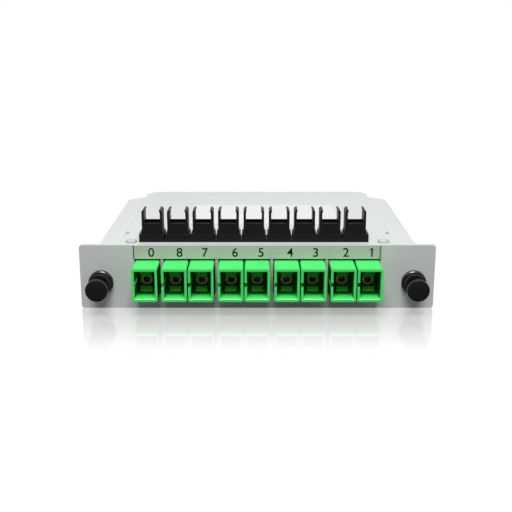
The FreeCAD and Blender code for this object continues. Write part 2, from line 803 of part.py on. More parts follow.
def make_grommet(label):
    """Split grommet: flange and collar before the panel, four legs behind it."""
    body = body_called(label)
    profile = sketch_on(body, "XY_Plane", "grommet_profile")
    outline(profile, [
        ("neck_radius + neck_gap", "grommet_collar_front"),
        ("grommet_collar_radius", "grommet_collar_front"),
        ("grommet_collar_radius", "panel_front - grommet_flange_thick"),
        ("grommet_flange_radius - grommet_edge", "panel_front - grommet_flange_thick"),
        ("grommet_flange_radius", "panel_front - grommet_flange_thick + grommet_edge"),
        ("grommet_flange_radius", "panel_front"),
        ("grommet_neck_radius", "panel_front"),
        ("grommet_neck_radius", "0"),
        ("grommet_radius", "0"),
        ("grommet_radius", "grommet_leg_long"),
        ("shaft_radius + shaft_gap", "grommet_leg_long"),
        ("shaft_radius + shaft_gap", "throat_front"),
        ("neck_radius + neck_gap", "throat_front"),
    ])
    turned(body, "grommet", profile)
    slot = sketch_on(body, "XY_Plane", "leg_slot")
    half = "grommet_slot_wide / 2"
    rectangle(slot, mirrored(half), half, "0", "grommet_leg_long")
    cut = pocket(body, "leg_slot_cut", slot, "2 * grommet_radius", "both")
    legs = body.newObject("PartDesign::PolarPattern", "legs")
    legs.Originals = [cut]
    legs.Axis = (origin_of(body, "Y_Axis"), [""])
    legs.Angle = 90
    legs.Occurrences = 2
    finish(body, legs)
    return body


# ---------------------------------------------------------------- adapters
# These are drawn about the adapter's own axis, with y = 0 at the middle of the housing.


def make_housing(label):
    """Adapter housing: a tube with a keyway in its left wall and a collar behind the panel."""
    body = body_called(label)
    section = sketch_on(body, "XZ_Plane", "housing_section")
    half_wide = "housing_wide / 2"
    half_high = "housing_high / 2"
    rectangle(section, mirrored(half_wide), half_wide, mirrored(half_high), half_high)
    pad(body, "housing_block", section, "housing_long", "both")
    dress(body, "housing_edges", "Chamfer", lambda edge: runs_along(edge, "Y"), "housing_edge")

    collar = sketch_on(body, "XZ_Plane", "collar", "0 - housing_middle")
    side = "(housing_wide / 2 - housing_edge)"
    rectangle(collar, "0 - " + side, side, "0 - collar_half", "collar_half")
    pad(body, "collar_pad", collar, "collar_thick", "reversed")

    bore = sketch_on(body, "XZ_Plane", "mouth")
    rectangle(bore, "0 - mouth_wide / 2", "mouth_wide / 2", "0 - mouth_high / 2", "mouth_high / 2")
    pocket(body, "mouth_cut", bore, "housing_long", "both")

    front = 0 - size("housing_long") / 2

    def mouth_rim(edge):
        box = edge.BoundBox
        flat = near(box.YMin, front) and near(box.YMax, front)
        in_mouth = abs(box.Center.x) <= size("mouth_wide") / 2 + 1e-4
        inside = in_mouth and abs(box.Center.z) <= size("mouth_high") / 2 + 1e-4
        return flat and inside

    dress(body, "mouth_rim", "Chamfer", mouth_rim, "mouth_edge")

    keyway = sketch_on(body, "YZ_Plane", "keyway")
    half = "keyway_high / 2"
    rectangle(keyway, "0 - housing_long / 2", "keyway_deep - housing_long / 2", mirrored(half), half)
    pocket(body, "keyway_cut", keyway, "housing_wide / 2")
    return body


def make_carrier(label):
    """Latch carrier: a middle plate, the tube for the sleeve, and two hooked arms to each side."""
    body = body_called(label)
    plate = sketch_on(body, "XZ_Plane", "carrier_plate")
    wide = "(mouth_wide / 2 - carrier_gap)"
    high = "(mouth_high / 2 - carrier_gap)"
    rectangle(plate, "0 - " + wide, wide, "0 - " + high, high)
    pad(body, "carrier_plate_pad", plate, "carrier_plate_thick", "both")

    tube = sketch_on(body, "XZ_Plane", "tube")
    ring(tube, "tube_radius", TUBE_SIDE_COUNT)
    pad(body, "tube_pad", tube, "tube_long", "both")

    arms = sketch_on(body, "YZ_Plane", "arms")
    hook = [
        ("0", "arm_inner"),
        ("arm_reach - hook_long", "arm_inner"),
        ("arm_reach - hook_long", "hook_inner"),
        ("arm_reach - hook_ramp", "hook_inner"),
        ("arm_reach", "arm_inner + arm_thick / 2"),
        ("arm_reach", "arm_inner + arm_thick"),
        ("0", "arm_inner + arm_thick"),
    ]
    above = [(along, up) for along, up in hook]
    below = [(along, mirrored(up)) for along, up in hook]
    for arm in (above, below):
        outline(arms, arm)
        outline(arms, [(mirrored(along), up) for along, up in arm])
    pad(body, "arms_pad", arms, "arm_wide", "both")

    bore = sketch_on(body, "XZ_Plane", "sleeve_bore", "tube_lip - tube_long / 2")
    ring(bore, "sleeve_outside", PORT_SIDE_COUNT)
    pocket(body, "sleeve_bore_cut", bore, "tube_long - tube_lip")
    lip = sketch_on(body, "XZ_Plane", "lip_bore", "0 - tube_long / 2")
    ring(lip, "tube_lip_radius", TUBE_SIDE_COUNT)
    pocket(body, "lip_bore_cut", lip, "tube_long")
    return body


def make_sleeve(label):
    """Ceramic sleeve with a slot along it, so that it grips the ferrules."""
    body = body_called(label)
    section = sketch_on(body, "XZ_Plane", "sleeve_section")
    ring(section, "sleeve_outside - sleeve_gap", PORT_SIDE_COUNT)
    ring(section, "ferrule_radius + ferrule_gap", PORT_SIDE_COUNT)
    pad(body, "sleeve", section, "sleeve_long", "both")
    slot = sketch_on(body, "XY_Plane", "sleeve_slot")
    half = "sleeve_slot / 2"
    rectangle(slot, mirrored(half), half, "0 - sleeve_long / 2", "sleeve_long / 2")
    pocket(body, "sleeve_slot_cut", slot, "sleeve_outside")
    return body


def make_ferrule(label):
    """Ceramic ferrule of the inner plug, from the middle of the sleeve back into the plug."""
    body = body_called(label)
    section = sketch_on(body, "XZ_Plane", "ferrule_section")
    ring(section, "ferrule_radius", PORT_SIDE_COUNT)
    pad(body, "ferrule", section, "ferrule_long", "reversed")
    return body


def make_inner_plug(label):
    """Plug on the rear side of the adapter: a frame caught by the rear hooks, a grip and a boot."""
    body = body_called(label)
    frame = sketch_on(body, "XZ_Plane", "plug_frame", "plug_front")
    rectangle(frame, "0 - plug_wide / 2", "plug_wide / 2", "0 - plug_high / 2", "plug_high / 2")
    pad(body, "plug_frame_pad", frame, "grip_front - plug_front", "reversed")

    channels = sketch_on(body, "YZ_Plane", "latch_channels")
    inner = "hook_inner - plug_latch_gap"
    ends = ("plug_front", "arm_reach + 2 * plug_latch_gap")
    rectangle(channels, ends[0], ends[1], inner, "plug_high / 2")
    rectangle(channels, ends[0], ends[1], "0 - plug_high / 2", mirrored(inner))
    pocket(body, "latch_channels_cut", channels, "arm_wide + 4 * plug_latch_gap", "both")

    grip = sketch_on(body, "XZ_Plane", "grip", "grip_front")
    rectangle(grip, "0 - grip_wide / 2", "grip_wide / 2", "0 - grip_high / 2", "grip_high / 2")
    pad(body, "grip_pad", grip, "grip_long", "reversed")

    half_grip = size("grip_wide / 2")

    def grip_edge(edge):
        return runs_along(edge, "Y") and near(abs(middle(edge).x), half_grip)

    dress(body, "grip_edges", "Chamfer", grip_edge, "grip_edge")

    thick_end = sketch_on(body, "XZ_Plane", "boot_thick_end", "boot_front")
    ring(thick_end, "boot_radius", PORT_SIDE_COUNT)
    pad(body, "boot", thick_end, "boot_long", "reversed")
    boot_front = size("boot_front")
    boot_back = size("boot_front + boot_long")

    def on_boot(face):
        return near(face.BoundBox.YMin, boot_front) and near(face.BoundBox.YMax, boot_back)

    def behind_grip(face):
        return near(face.BoundBox.YMin, boot_front) and near(face.BoundBox.YMax, boot_front)

    slope = "atan((boot_radius - boot_end_radius) / boot_long)"
    tapered(body, "boot_taper", on_boot, behind_grip, slope)

    socket = sketch_on(body, "XZ_Plane", "ferrule_socket", "plug_front")
    ring(socket, "ferrule_radius + ferrule_gap", PORT_SIDE_COUNT)
    pocket(body, "ferrule_socket_cut", socket, "plug_socket_long")
    return body


# ---------------------------------------------------------------- fibres and chip


def make_splitter_module():
    """Steel housing of the splitter chip, bonded to the tray floor inside the coil."""
    body = body_called("splitter_module")
    block = sketch_on(body, "XY_Plane", "module", "sheet_thick")
    left = "0 - module_long / 2"
    low = "module_middle - module_wide / 2"
    rectangle(block, left, "module_long / 2", low, "module_middle + module_wide / 2")
    pad(body, "module_pad", block, "module_high")
    dress(body, "module_edges", "Chamfer", lambda edge: runs_along(edge, "X"), "module_edge")


def make_fibre_coil():
    """The outer form of the stored turns: a flat loop with wide bends, lying on the floor."""
    body = body_called("fibre_coil")
    outer = sketch_on(body, "XY_Plane", "loop_outside", "sheet_thick")
    rectangle(outer, "0 - coil_half", "coil_half", "coil_front", "coil_back")
    pad(body, "loop_block", outer, "coil_high")
    dress(body, "loop_bends", "Fillet", lambda edge: runs_along(edge, "Z"), "coil_corner")
    inner = sketch_on(body, "XY_Plane", "loop_inside", "sheet_thick + coil_high")
    half = "(coil_half - coil_band)"
    rectangle(inner, "0 - " + half, half, "coil_front + coil_band", "coil_back - coil_band")
    pocket(body, "loop_hollow", inner, "coil_high")
    dress(body, "inner_bends", "Fillet", lambda edge: runs_along(edge, "Z"), "coil_corner - coil_band")


def make_fibre_saddles():
    """Four small bridges over the coil's long sides, bonded to the tray floor."""
    body = body_called("fibre_saddles", pieces=4)
    arches = sketch_on(body, "YZ_Plane", "arches", "first_pair")
    for start in ("coil_front", "coil_back - coil_band"):
        outer = (start + " - saddle_reach", start + " + coil_band + saddle_reach")
        inner = (start + " - saddle_gap", start + " + coil_band + saddle_gap")
        under = "sheet_thick + coil_high + saddle_gap"
        outline(arches, [
            (outer[0], "sheet_thick"),
            (inner[0], "sheet_thick"),
            (inner[0], under),
            (inner[1], under),
            (inner[1], "sheet_thick"),
            (outer[1], "sheet_thick"),
            (outer[1], "saddle_top"),
            (outer[0], "saddle_top"),
        ])
    first = pad(body, "arches_pad", arches, "saddle_wide", "both")
    row_of(body, "saddles", [first], "X_Axis", "2 * pair_pitch", 2)


def lead_path(across, start, end, high, low):
    """A lead that leaves its boot level, dips to the coil in two equal bends, and runs on level."""
    radius = size("lead_bend")
    turn = math.acos(1 - (high - low) / (2 * radius))
    first = start + size("lead_straight")
    last = first + 2 * radius * math.sin(turn)

    def on_upper(angle):
        return Vector(across, first + radius * math.sin(angle), high - radius * (1 - math.cos(angle)))

    def on_lower(angle):
        return Vector(across, last - radius * math.sin(angle), low + radius * (1 - math.cos(angle)))

    edges = [
        Part.LineSegment(Vector(across, start, high), on_upper(0)).toShape(),
        Part.Arc(on_upper(0), on_upper(turn / 2), on_upper(turn)).toShape(),
        Part.Arc(on_lower(turn), on_lower(turn / 2), on_lower(0)).toShape(),
        Part.LineSegment(on_lower(0), Vector(across, end, low)).toShape(),
    ]
    return Part.Wire(edges)


def lead_along(path, start, way):
    """A lead of the one thickness along a path that starts there."""
    radius = size("lead_radius")
    side = way.cross(Vector(0, 0, 1))
    turns = [2 * math.pi * i / LEAD_SIDE_COUNT for i in range(LEAD_SIDE_COUNT + 1)]
    rise = Vector(0, 0, radius)
    spots = [start + side * radius * math.cos(turn) + rise * math.sin(turn) for turn in turns]
    section = Part.Face(Part.makePolygon(spots))
    lead = path.makePipe(section).Solids[0]
    if not near(lead.Volume / (section.Area * path.Length), 1):
        raise RuntimeError("a lead isn't its section along its path")
    return lead


def make_fibre_leads():
    """Nine leads from the boots to the coil, and the leads from the coil into the chip's housing."""
    feature = doc.addObject("Part::Feature", "fibre_leads")
    feature.Label = "fibre_leads"
    high = size("axis_height")
    low = size("lead_level")
    start = size("lead_start")
    corner = size("coil_corner")
    straight_half = size("coil_half - coil_corner")

    solids = []
    for name, place_text in PORT_PLACES:
        across = size(place_text)
        past = max(0.0, abs(across) - size("lead_radius") - straight_half)
        bend = corner - math.sqrt(corner ** 2 - past ** 2)
        end = size("coil_front - lead_end_gap") + bend
        path = lead_path(across, start, end, high, low)
        solids.append(lead_along(path, Vector(across, start, high), Vector(0, 1, 0)))

    module_end = size("module_long / 2")
    coil_inside = size("coil_half - coil_band")
    along = size("module_middle")
    rows = [port - (len(PORTS) + 1) / 2 for port in PORTS]
    inner_corner = size("coil_corner - coil_band")
    inner_straight_half = size("coil_deep / 2 - coil_corner")
    for way, steps in ((-1, [0]), (1, rows)):
        for step in steps:
            offset = step * size("ribbon_pitch")
            past = max(0.0, abs(offset) + size("lead_radius") - inner_straight_half)
            bend = inner_corner - math.sqrt(inner_corner ** 2 - past ** 2)
            start = Vector(way * module_end, along + offset, low)
            end = Vector(way * (coil_inside - bend), along + offset, low)
            path = Part.Wire([Part.LineSegment(start, end).toShape()])
            solids.append(lead_along(path, start, Vector(way, 0, 0)))
    feature.Shape = Part.makeCompound(solids)
    NODES.append((feature, len(solids)))


# ---------------------------------------------------------------- build


make_front_panel()
make_tray()
make_top_cover()
make_cover_screws()
make_marking_strip()
make_top_label()
make_parking_comb()
for side, across in (("left", mirrored("plunger_reach")), ("right", "plunger_reach")):
    place(make_grommet("grommet_" + side), across, "0", "plunger_height")
    place(make_plunger("plunger_" + side), across, "0", "plunger_height")
one_for_each_port("adapter_housing", make_housing)
one_for_each_port("latch_carrier", make_carrier)
one_for_each_port("split_sleeve", make_sleeve)
one_for_each_port("inner_plug", make_inner_plug)
one_for_each_port("plug_ferrule", make_ferrule)
make_splitter_module()
make_fibre_coil()
make_fibre_leads()
make_fibre_saddles()
doc.recompute()

for item in doc.Objects:
    if "Invalid" in item.State or "Error" in item.State:
        raise RuntimeError(item.Label + " did not build: " + ", ".join(item.State))
for part, pieces in NODES:
    shape = part.Shape
    if shape.isNull() or not shape.isValid():
        raise RuntimeError(part.Label + " has no valid shape")
    if len(shape.Solids) != pieces:
        raise RuntimeError("%s has %d solids, not %d" % (part.Label, len(shape.Solids), pieces))

os.makedirs("parts", exist_ok=True)
for part, pieces in NODES:
    part.Shape.exportStep("parts/%s.step" % part.Label)
print("%d nodes written" % len(NODES))
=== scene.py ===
# %% [markdown]
# # A plug-in fibre splitter card
# The card is a low steel box behind a painted front panel. Nine green adapters stand in the panel, a
# comb of black clips lies on the lid, and a push-pull latch sits at each end. The solids of every
# part come from the frame. This lesson gives them rounded edges, real finishes, printed numbers, a
# white table and soft light.

# %% Load the solids
import json
import math

import bpy
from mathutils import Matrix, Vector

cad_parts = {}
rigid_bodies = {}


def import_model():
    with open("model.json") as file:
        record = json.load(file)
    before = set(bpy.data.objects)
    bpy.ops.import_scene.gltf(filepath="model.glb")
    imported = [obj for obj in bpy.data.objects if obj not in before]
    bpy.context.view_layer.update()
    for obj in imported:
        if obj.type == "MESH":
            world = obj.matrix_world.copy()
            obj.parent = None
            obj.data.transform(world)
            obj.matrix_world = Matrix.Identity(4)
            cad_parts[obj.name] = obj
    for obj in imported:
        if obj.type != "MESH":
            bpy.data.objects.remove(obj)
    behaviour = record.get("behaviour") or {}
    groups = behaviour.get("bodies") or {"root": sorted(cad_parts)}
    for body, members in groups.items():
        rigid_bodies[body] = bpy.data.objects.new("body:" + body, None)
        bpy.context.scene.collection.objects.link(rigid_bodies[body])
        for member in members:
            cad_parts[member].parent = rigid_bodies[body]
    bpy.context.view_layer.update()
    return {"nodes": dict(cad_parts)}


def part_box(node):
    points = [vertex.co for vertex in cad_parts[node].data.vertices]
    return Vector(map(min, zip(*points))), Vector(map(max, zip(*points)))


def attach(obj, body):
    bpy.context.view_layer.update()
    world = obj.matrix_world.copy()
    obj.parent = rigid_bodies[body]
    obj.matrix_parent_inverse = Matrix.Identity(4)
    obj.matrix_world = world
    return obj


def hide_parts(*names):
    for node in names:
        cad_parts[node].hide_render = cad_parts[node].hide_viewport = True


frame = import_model()

# %% [markdown]
# Blender works in metres, and the sizes of this card are easier to read in millimetres, so one factor
# turns them. The names of the parts that repeat at each port are made once too: the input port on the
# left, then outputs 8 to 1.

# %% Units and names
MM = 0.001
CARD = "card"
PORTS = ["input"] + [str(number) for number in range(1, 9)]
print("ports:", PORTS)

# %% [markdown]
# ## Two small tools for materials
# Paint makers and plastics makers give colours as sRGB hex values, but Blender's sockets expect
# linear light. One function turns the first into the second. A second function adds a shader node,
# sets it up and feeds it, so that each finish below reads as a list of what it is made of.


# %% Colour and node helpers
def colour(code):
    """A linear RGBA colour from an sRGB hex value."""
    parts = [int(code[i:i + 2], 16) / 255 for i in (1, 3, 5)]
    linear = [c / 12.92 if c <= 0.04045 else ((c + 0.055) / 1.055) ** 2.4 for c in parts]
    return (*linear, 1.0)


def add(tree, kind, settings=None, links=None):
    """One shader node, with its settings and the outputs that feed it."""
    made = tree.nodes.new(kind)
    for name, value in (settings or {}).items():
        if name in made.inputs:
            made.inputs[name].default_value = value
        else:
            setattr(made, name, value)
    for name, output in (links or {}).items():
        tree.links.new(output, made.inputs[name])
    return made


print("white is", colour("#FFFFFF"))

# %% [markdown]
# Most finishes here are a coating or a moulding: one colour with a faint cloud in it, and a fine
# grain that breaks up the highlights. The grain's size is the real one in millimetres. A function
# builds that pair of patterns, and each finish then says how large and how deep they are. A Mix node
# has sockets for numbers, vectors and colours under the same names, so the colours go by index.


# %% The base of a coated or moulded finish
MIX_FIRST = 6
MIX_SECOND = 7
MIX_RESULT = 2


def surface(name, light, dark, roughness, cloud_mm, grain_mm, grain_high_mm, **sockets):
    """A material whose colour drifts between two near shades and whose surface has a fine grain."""
    made = bpy.data.materials.new(name)
    made.use_nodes = True
    tree = made.node_tree
    tree.nodes.clear()
    where = add(tree, "ShaderNodeTexCoord")
    place = where.outputs["Object"]
    wide = {"Scale": 1 / (cloud_mm * MM), "Detail": 3.0}
    cloud = add(tree, "ShaderNodeTexNoise", wide, {"Vector": place})
    shade = add(tree, "ShaderNodeMix", {"data_type": "RGBA"})
    shade.inputs[MIX_FIRST].default_value = colour(light)
    shade.inputs[MIX_SECOND].default_value = colour(dark)
    tree.links.new(cloud.outputs["Fac"], shade.inputs["Factor"])
    fine = {"Scale": 1 / (grain_mm * MM), "Detail": 2.0}
    grain = add(tree, "ShaderNodeTexNoise", fine, {"Vector": place})
    relief = {"Strength": 1.0, "Distance": grain_high_mm * MM}
    bump = add(tree, "ShaderNodeBump", relief, {"Height": grain.outputs["Fac"]})
    settings = {"Roughness": roughness}
    settings.update({word.replace("_", " "): value for word, value in sockets.items()})
    links = {"Base Color": shade.outputs[MIX_RESULT], "Normal": bump.outputs["Normal"]}
    shader = add(tree, "ShaderNodeBsdfPrincipled", settings, links)
    add(tree, "ShaderNodeOutputMaterial", links={"Surface": shader.outputs["BSDF"]})
    return made


print("surface() is ready")

# %% [markdown]
# ## Paint, foil and paper
# The panel is steel with a light grey powder coat. Powder is sprayed on dry and melted, so it keeps a
# faint orange peel about half a millimetre across, and that softens its highlights. The folded tray
# and the pressed lid carry a paler coat of the same kind.

# %% Powder coats
# Light grey polyester powder coat: an even grey with a soft, slightly pebbled sheen.
panel_coat = surface(
    "powder_coat_light_grey", "#DADDDB", "#D3D6D4", 0.42,
    cloud_mm=9.0, grain_mm=0.5, grain_high_mm=0.012,
)
# Pale grey powder coat: near white, with the same sheen.
lid_coat = surface(
    "powder_coat_pale_grey", "#DCE1DE", "#D5DBD8", 0.38,
    cloud_mm=14.0, grain_mm=0.5, grain_high_mm=0.010,
)
print("coats:", panel_coat.name, lid_coat.name)

# %% [markdown]
# The marking strip is a thin polyester foil, smoother than the paint around it. The label on the lid
# is uncoated paper, matt and very slightly fibrous. The numbers are printed with black ink.

# %% Foil, paper and ink
# Printed polyester foil: grey, with a satin top film.
foil = surface(
    "polyester_foil_grey", "#C6C4C0", "#C0BEBA", 0.30,
    cloud_mm=12.0, grain_mm=0.4, grain_high_mm=0.003,
)
# Label paper: white and matt, with short fibres.
paper = surface(
    "label_paper_white", "#F3F3F1", "#ECECE9", 0.85,
    cloud_mm=3.0, grain_mm=0.25, grain_high_mm=0.010, Specular_IOR_Level=0.3,
)
# Printing ink: flat black, a little glossy where it lies thick.
ink = surface(
    "printing_ink_black", "#101210", "#0A0C0A", 0.50,
    cloud_mm=2.0, grain_mm=0.2, grain_high_mm=0.002, Specular_IOR_Level=0.2,
)
print("foil, paper and ink are ready")

# %% [markdown]
# ## Plastics
# The clips are moulded in black ABS with a spark-eroded tool, which leaves a fine matt texture. The
# latches are black nylon, smoother and a little oily in its shine. The adapters are PBT in the green
# that marks angled connectors, and it is a clear, strong green that glows where light falls on it.

# %% Moulded plastics
# Black ABS from an eroded tool: a fine matt grain.
black_abs = surface(
    "abs_black_textured", "#181816", "#111110", 0.46,
    cloud_mm=5.0, grain_mm=0.16, grain_high_mm=0.012, Specular_IOR_Level=0.15,
)
# The same ABS in the hollow of each clip, painted near black as the shade there, with no shine.
painted_shade_abs = surface(
    "abs_black_shade_painted", "#060606", "#040404", 0.90,
    cloud_mm=5.0, grain_mm=0.16, grain_high_mm=0.020, Specular_IOR_Level=0.02,
)
# Black nylon: smooth, with a soft shine. The knob is handled and dull, the grommet is clean.
black_nylon = surface(
    "nylon_black_dull", "#181817", "#121211", 0.36,
    cloud_mm=4.0, grain_mm=0.35, grain_high_mm=0.006, Specular_IOR_Level=0.18,
)
clean_nylon = surface(
    "nylon_black_clean", "#1B1B19", "#141413", 0.24,
    cloud_mm=4.0, grain_mm=0.35, grain_high_mm=0.004, Specular_IOR_Level=0.6,
)
# Green PBT: a strong green with a soft gloss.
green_pbt = surface(
    "pbt_green_gloss", "#52FF7E", "#48F872", 0.33,
    cloud_mm=4.0, grain_mm=0.3, grain_high_mm=0.006,
)
# Painted shade on the same plastic: a deeper, matt green inside the mouths, between neighbours and
# behind the panel, where shade falls.
painted_shade_green = surface(
    "pbt_green_shade_painted", "#0B6A1E", "#075C18", 0.70,
    cloud_mm=4.0, grain_mm=0.2, grain_high_mm=0.012, Specular_IOR_Level=0.1,
)
# The latch carriers are unfilled PBT in a deeper green, which is painted shade for their place deep
# in the mouths.
carrier_pbt = surface(
    "pbt_green_carrier", "#2AA82C", "#229A24", 0.50,
    cloud_mm=3.0, grain_mm=0.3, grain_high_mm=0.006, Specular_IOR_Level=0.12,
)
# The tube in each carrier holds the sleeve, and is given an olive tint.
tube_olive = surface(
    "pbt_olive_tint", "#84A04A", "#749040", 0.45,
    cloud_mm=1.5, grain_mm=0.2, grain_high_mm=0.010,
)
print("plastics are ready")

# %% [markdown]
# ## What lies inside
# Nobody sees these until the lid comes off, but each has its own finish: ferrules of zirconia
# ceramic, polished until they shine, in sleeves of dark bronze, the drawn steel tube of the splitter,
# the white jacket of buffered fibre and clear nylon saddles.

# %% Inner finishes
# Polished zirconia: white, hard and glossy.
zirconia = surface(
    "zirconia_polished", "#F4F1EA", "#EEEAE2", 0.12,
    cloud_mm=2.0, grain_mm=0.1, grain_high_mm=0.0005, IOR=2.1,
)
# Phosphor bronze, rolled into a sleeve: brown metal with a dull shine, darkened as painted shade deep
# in the bore.
bronze = surface(
    "phosphor_bronze_rolled", "#4A3A28", "#3E3020", 0.40,
    cloud_mm=1.0, grain_mm=0.1, grain_high_mm=0.003, Metallic=1.0,
)
# Drawn stainless steel: grey metal with fine lines.
drawn_steel = surface(
    "stainless_steel_drawn", "#B5B7B9", "#A4A6A9", 0.32,
    cloud_mm=1.0, grain_mm=0.08, grain_high_mm=0.003, Metallic=1.0,
)
# Buffered fibre: a smooth white jacket.
jacket = surface(
    "polyester_jacket_white", "#EDEDE4", "#E4E4DA", 0.40,
    cloud_mm=6.0, grain_mm=0.3, grain_high_mm=0.004,
)
# Natural nylon: milky and soft.
natural_nylon = surface(
    "nylon_natural", "#E3E1D8", "#D8D6CC", 0.45,
    cloud_mm=3.0, grain_mm=0.3, grain_high_mm=0.006,
)
# Bright zinc plate on the cover screws: pale metal with a soft shine.
zinc_plate = surface(
    "zinc_plated_steel", "#C4C7C7", "#B6B9BA", 0.55,
    cloud_mm=1.0, grain_mm=0.12, grain_high_mm=0.003, Metallic=1.0,
)
print("inner finishes are ready")

# %% [markdown]
# ## Dress the solids
# The solids from the frame keep their shape and take a finish in their material slots. Later cells
# replace the visible ones with pieces whose edges are rounded, and those carry the same finishes.

# %% A finish for every solid
FINISHES = {
    "front_panel": panel_coat,
    "tray": lid_coat,
    "top_cover": lid_coat,
    "cover_screws": zinc_plate,
    "marking_strip": foil,
    "top_label": paper,
    "parking_comb": black_abs,
    "grommet": clean_nylon,
    "plunger": black_nylon,
    "adapter_housing": green_pbt,
    "latch_carrier": carrier_pbt,
    "split_sleeve": bronze,
    "inner_plug": green_pbt,
    "plug_ferrule": zirconia,
    "splitter_module": drawn_steel,
    "fibre_coil": jacket,
    "fibre_leads": jacket,
    "fibre_saddles": natural_nylon,
}


def finish_of(node):
    """The finish of a node. Repeated nodes share the finish of their kind."""
    if node in FINISHES:
        return FINISHES[node]
    return FINISHES[node.rsplit("_", 1)[0]]


for node, thing in frame["nodes"].items():
    thing.data.materials.clear()
    thing.data.materials.append(finish_of(node))
print("finished solids:", len(frame["nodes"]))

# %% [markdown]
# ## Rounded edges
# No real edge is perfectly sharp. A moulded edge has a small radius, and paint flows round a cut one,
# and each catches a thin line of light. Each visible piece is a copy of its solid, joined into whole
# faces first, because the frame stores loose triangles. A bevel then rounds every edge that turns by
# more than forty degrees, and leaves the small facets of round walls alone.


# %% Round the edges of a copy of a solid
MERGE_GAP = 0.002 * MM
FLAT_TURN = math.radians(1)
SHARP_TURN = math.radians(40)


def select_only(thing):
    """Select one object and make it the active one."""
    bpy.ops.object.select_all(action="DESELECT")
    thing.select_set(True)
    bpy.context.view_layer.objects.active = thing


def softened(name, node, radius_mm, steps=2, smooth_deg=12):
    """A copy of a solid with rounded edges. Only turns below smooth_deg are shaded as curved."""
    piece = frame["nodes"][node].copy()
    piece.data = frame["nodes"][node].data.copy()
    piece.name = name
    bpy.context.collection.objects.link(piece)
    select_only(piece)
    bpy.ops.object.parent_clear(type="CLEAR_KEEP_TRANSFORM")
    bpy.ops.object.mode_set(mode="EDIT")
    bpy.ops.mesh.select_all(action="SELECT")
    bpy.ops.mesh.remove_doubles(threshold=MERGE_GAP)
    bpy.ops.mesh.dissolve_limited(angle_limit=FLAT_TURN)
    bpy.ops.mesh.vert_connect_concave()
    bpy.ops.object.mode_set(mode="OBJECT")
    bevel = piece.modifiers.new("edge_radius", "BEVEL")
    bevel.width = radius_mm * MM
    bevel.segments = steps
    bevel.limit_method = "ANGLE"
    bevel.angle_limit = SHARP_TURN
    bevel.use_clamp_overlap = True
    bpy.ops.object.modifier_apply(modifier=bevel.name)
    bpy.ops.object.shade_smooth_by_angle(angle=math.radians(smooth_deg))
    return piece


def stands_for(piece, node, body=CARD):
    """Let a piece take a solid's place, its finish and its motion."""
    piece.data.materials.clear()
    piece.data.materials.append(finish_of(node))
    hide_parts(node)
    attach(piece, body)


print("softened() is ready")

# %% [markdown]
# The sheet-metal pieces get the small radius of thick paint over a cut edge. The comb's edges come
# about as round out of its mould. The rims of the screws' flat heads are rounder than both.

# %% Panel, lid, comb and screws
for node, radius_mm, steps in (
    ("front_panel", 0.18, 2),
    ("top_cover", 0.20, 2),
    ("parking_comb", 0.18, 2),
    ("cover_screws", 0.28, 3),
):
    piece = softened(node + "_dressed", node, radius_mm, steps)
    stands_for(piece, node)
    print(piece.name, len(piece.data.polygons), "faces")

# %% [markdown]
# ## The comb's hollows
# The floor of each clip is hollow, and its faces there are painted near black as shade, which makes
# it the darkest part of the comb. The faces of the hollows are found by their place and take this
# painted shade.


# %% Painted shade in the clips' hollows
def second_finish(piece, finish, chosen):
    """Give a further finish to the faces whose middle is chosen."""
    piece.data.materials.append(finish)
    for polygon in piece.data.polygons:
        if chosen(polygon.center):
            polygon.material_index = len(piece.data.materials) - 1


HOLLOW_LOW = 29.7 * MM
HOLLOW_HIGH = 30.4 * MM

comb = bpy.data.objects["parking_comb_dressed"]
# Painted shade: the faces of the hollows take the near-black ABS.
second_finish(comb, painted_shade_abs, lambda spot: HOLLOW_LOW < spot.z < HOLLOW_HIGH)
print("hollow faces:", sum(polygon.material_index for polygon in comb.data.polygons))

# %% [markdown]
# ## The adapters
# The nine adapters come out of one mould, so one is rounded and the others are copies of it, each
# with a mesh of its own. A copy moves its vertices rather than its object, because every finished
# piece stands at the origin. The long faces are divided where they pass the panel's face, so that
# the part behind it can take a painted shade of its own.


# %% Copy a piece to another port
def copied(piece, name, node_from, node_to):
    """A copy of a piece, moved by the distance between two solids."""
    start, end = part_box(node_from)[0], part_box(node_to)[0]
    step = [b - a for a, b in zip(start, end)]
    other = piece.copy()
    other.data = piece.data.copy()
    other.name = name
    bpy.context.collection.objects.link(other)
    for vertex in other.data.vertices:
        vertex.co = [c + s for c, s in zip(vertex.co, step)]
    return other


def middle_of(node):
    """The middle of a solid's box."""
    low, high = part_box(node)
    return [(a + b) / 2 for a, b in zip(low, high)]


def split_at(piece, along):
    """Divide the faces of a piece where they cross a plane square to Y."""
    select_only(piece)
    bpy.ops.object.mode_set(mode="EDIT")
    bpy.ops.mesh.select_all(action="SELECT")
    bpy.ops.mesh.bisect(plane_co=(0, along, 0), plane_no=(0, 1, 0))
    bpy.ops.object.mode_set(mode="OBJECT")


# The painted shade behind the panel starts this far behind its face.
HIDDEN_DEEP = 0.2 * MM
HIDDEN_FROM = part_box("front_panel")[0][1] + HIDDEN_DEEP

for kind, radius_mm, smooth_deg in (("adapter_housing", 0.09, 12), ("latch_carrier", 0.07, 30)):
    first = softened(kind + "_dressed_input", kind + "_input", radius_mm, 2, smooth_deg)
    split_at(first, HIDDEN_FROM)
    for port in PORTS[1:]:
        other = copied(first, kind + "_dressed_" + port, kind + "_input", kind + "_" + port)
        stands_for(other, kind + "_" + port)
    stands_for(first, kind + "_input")
    print(kind, len(first.data.polygons), "faces each")
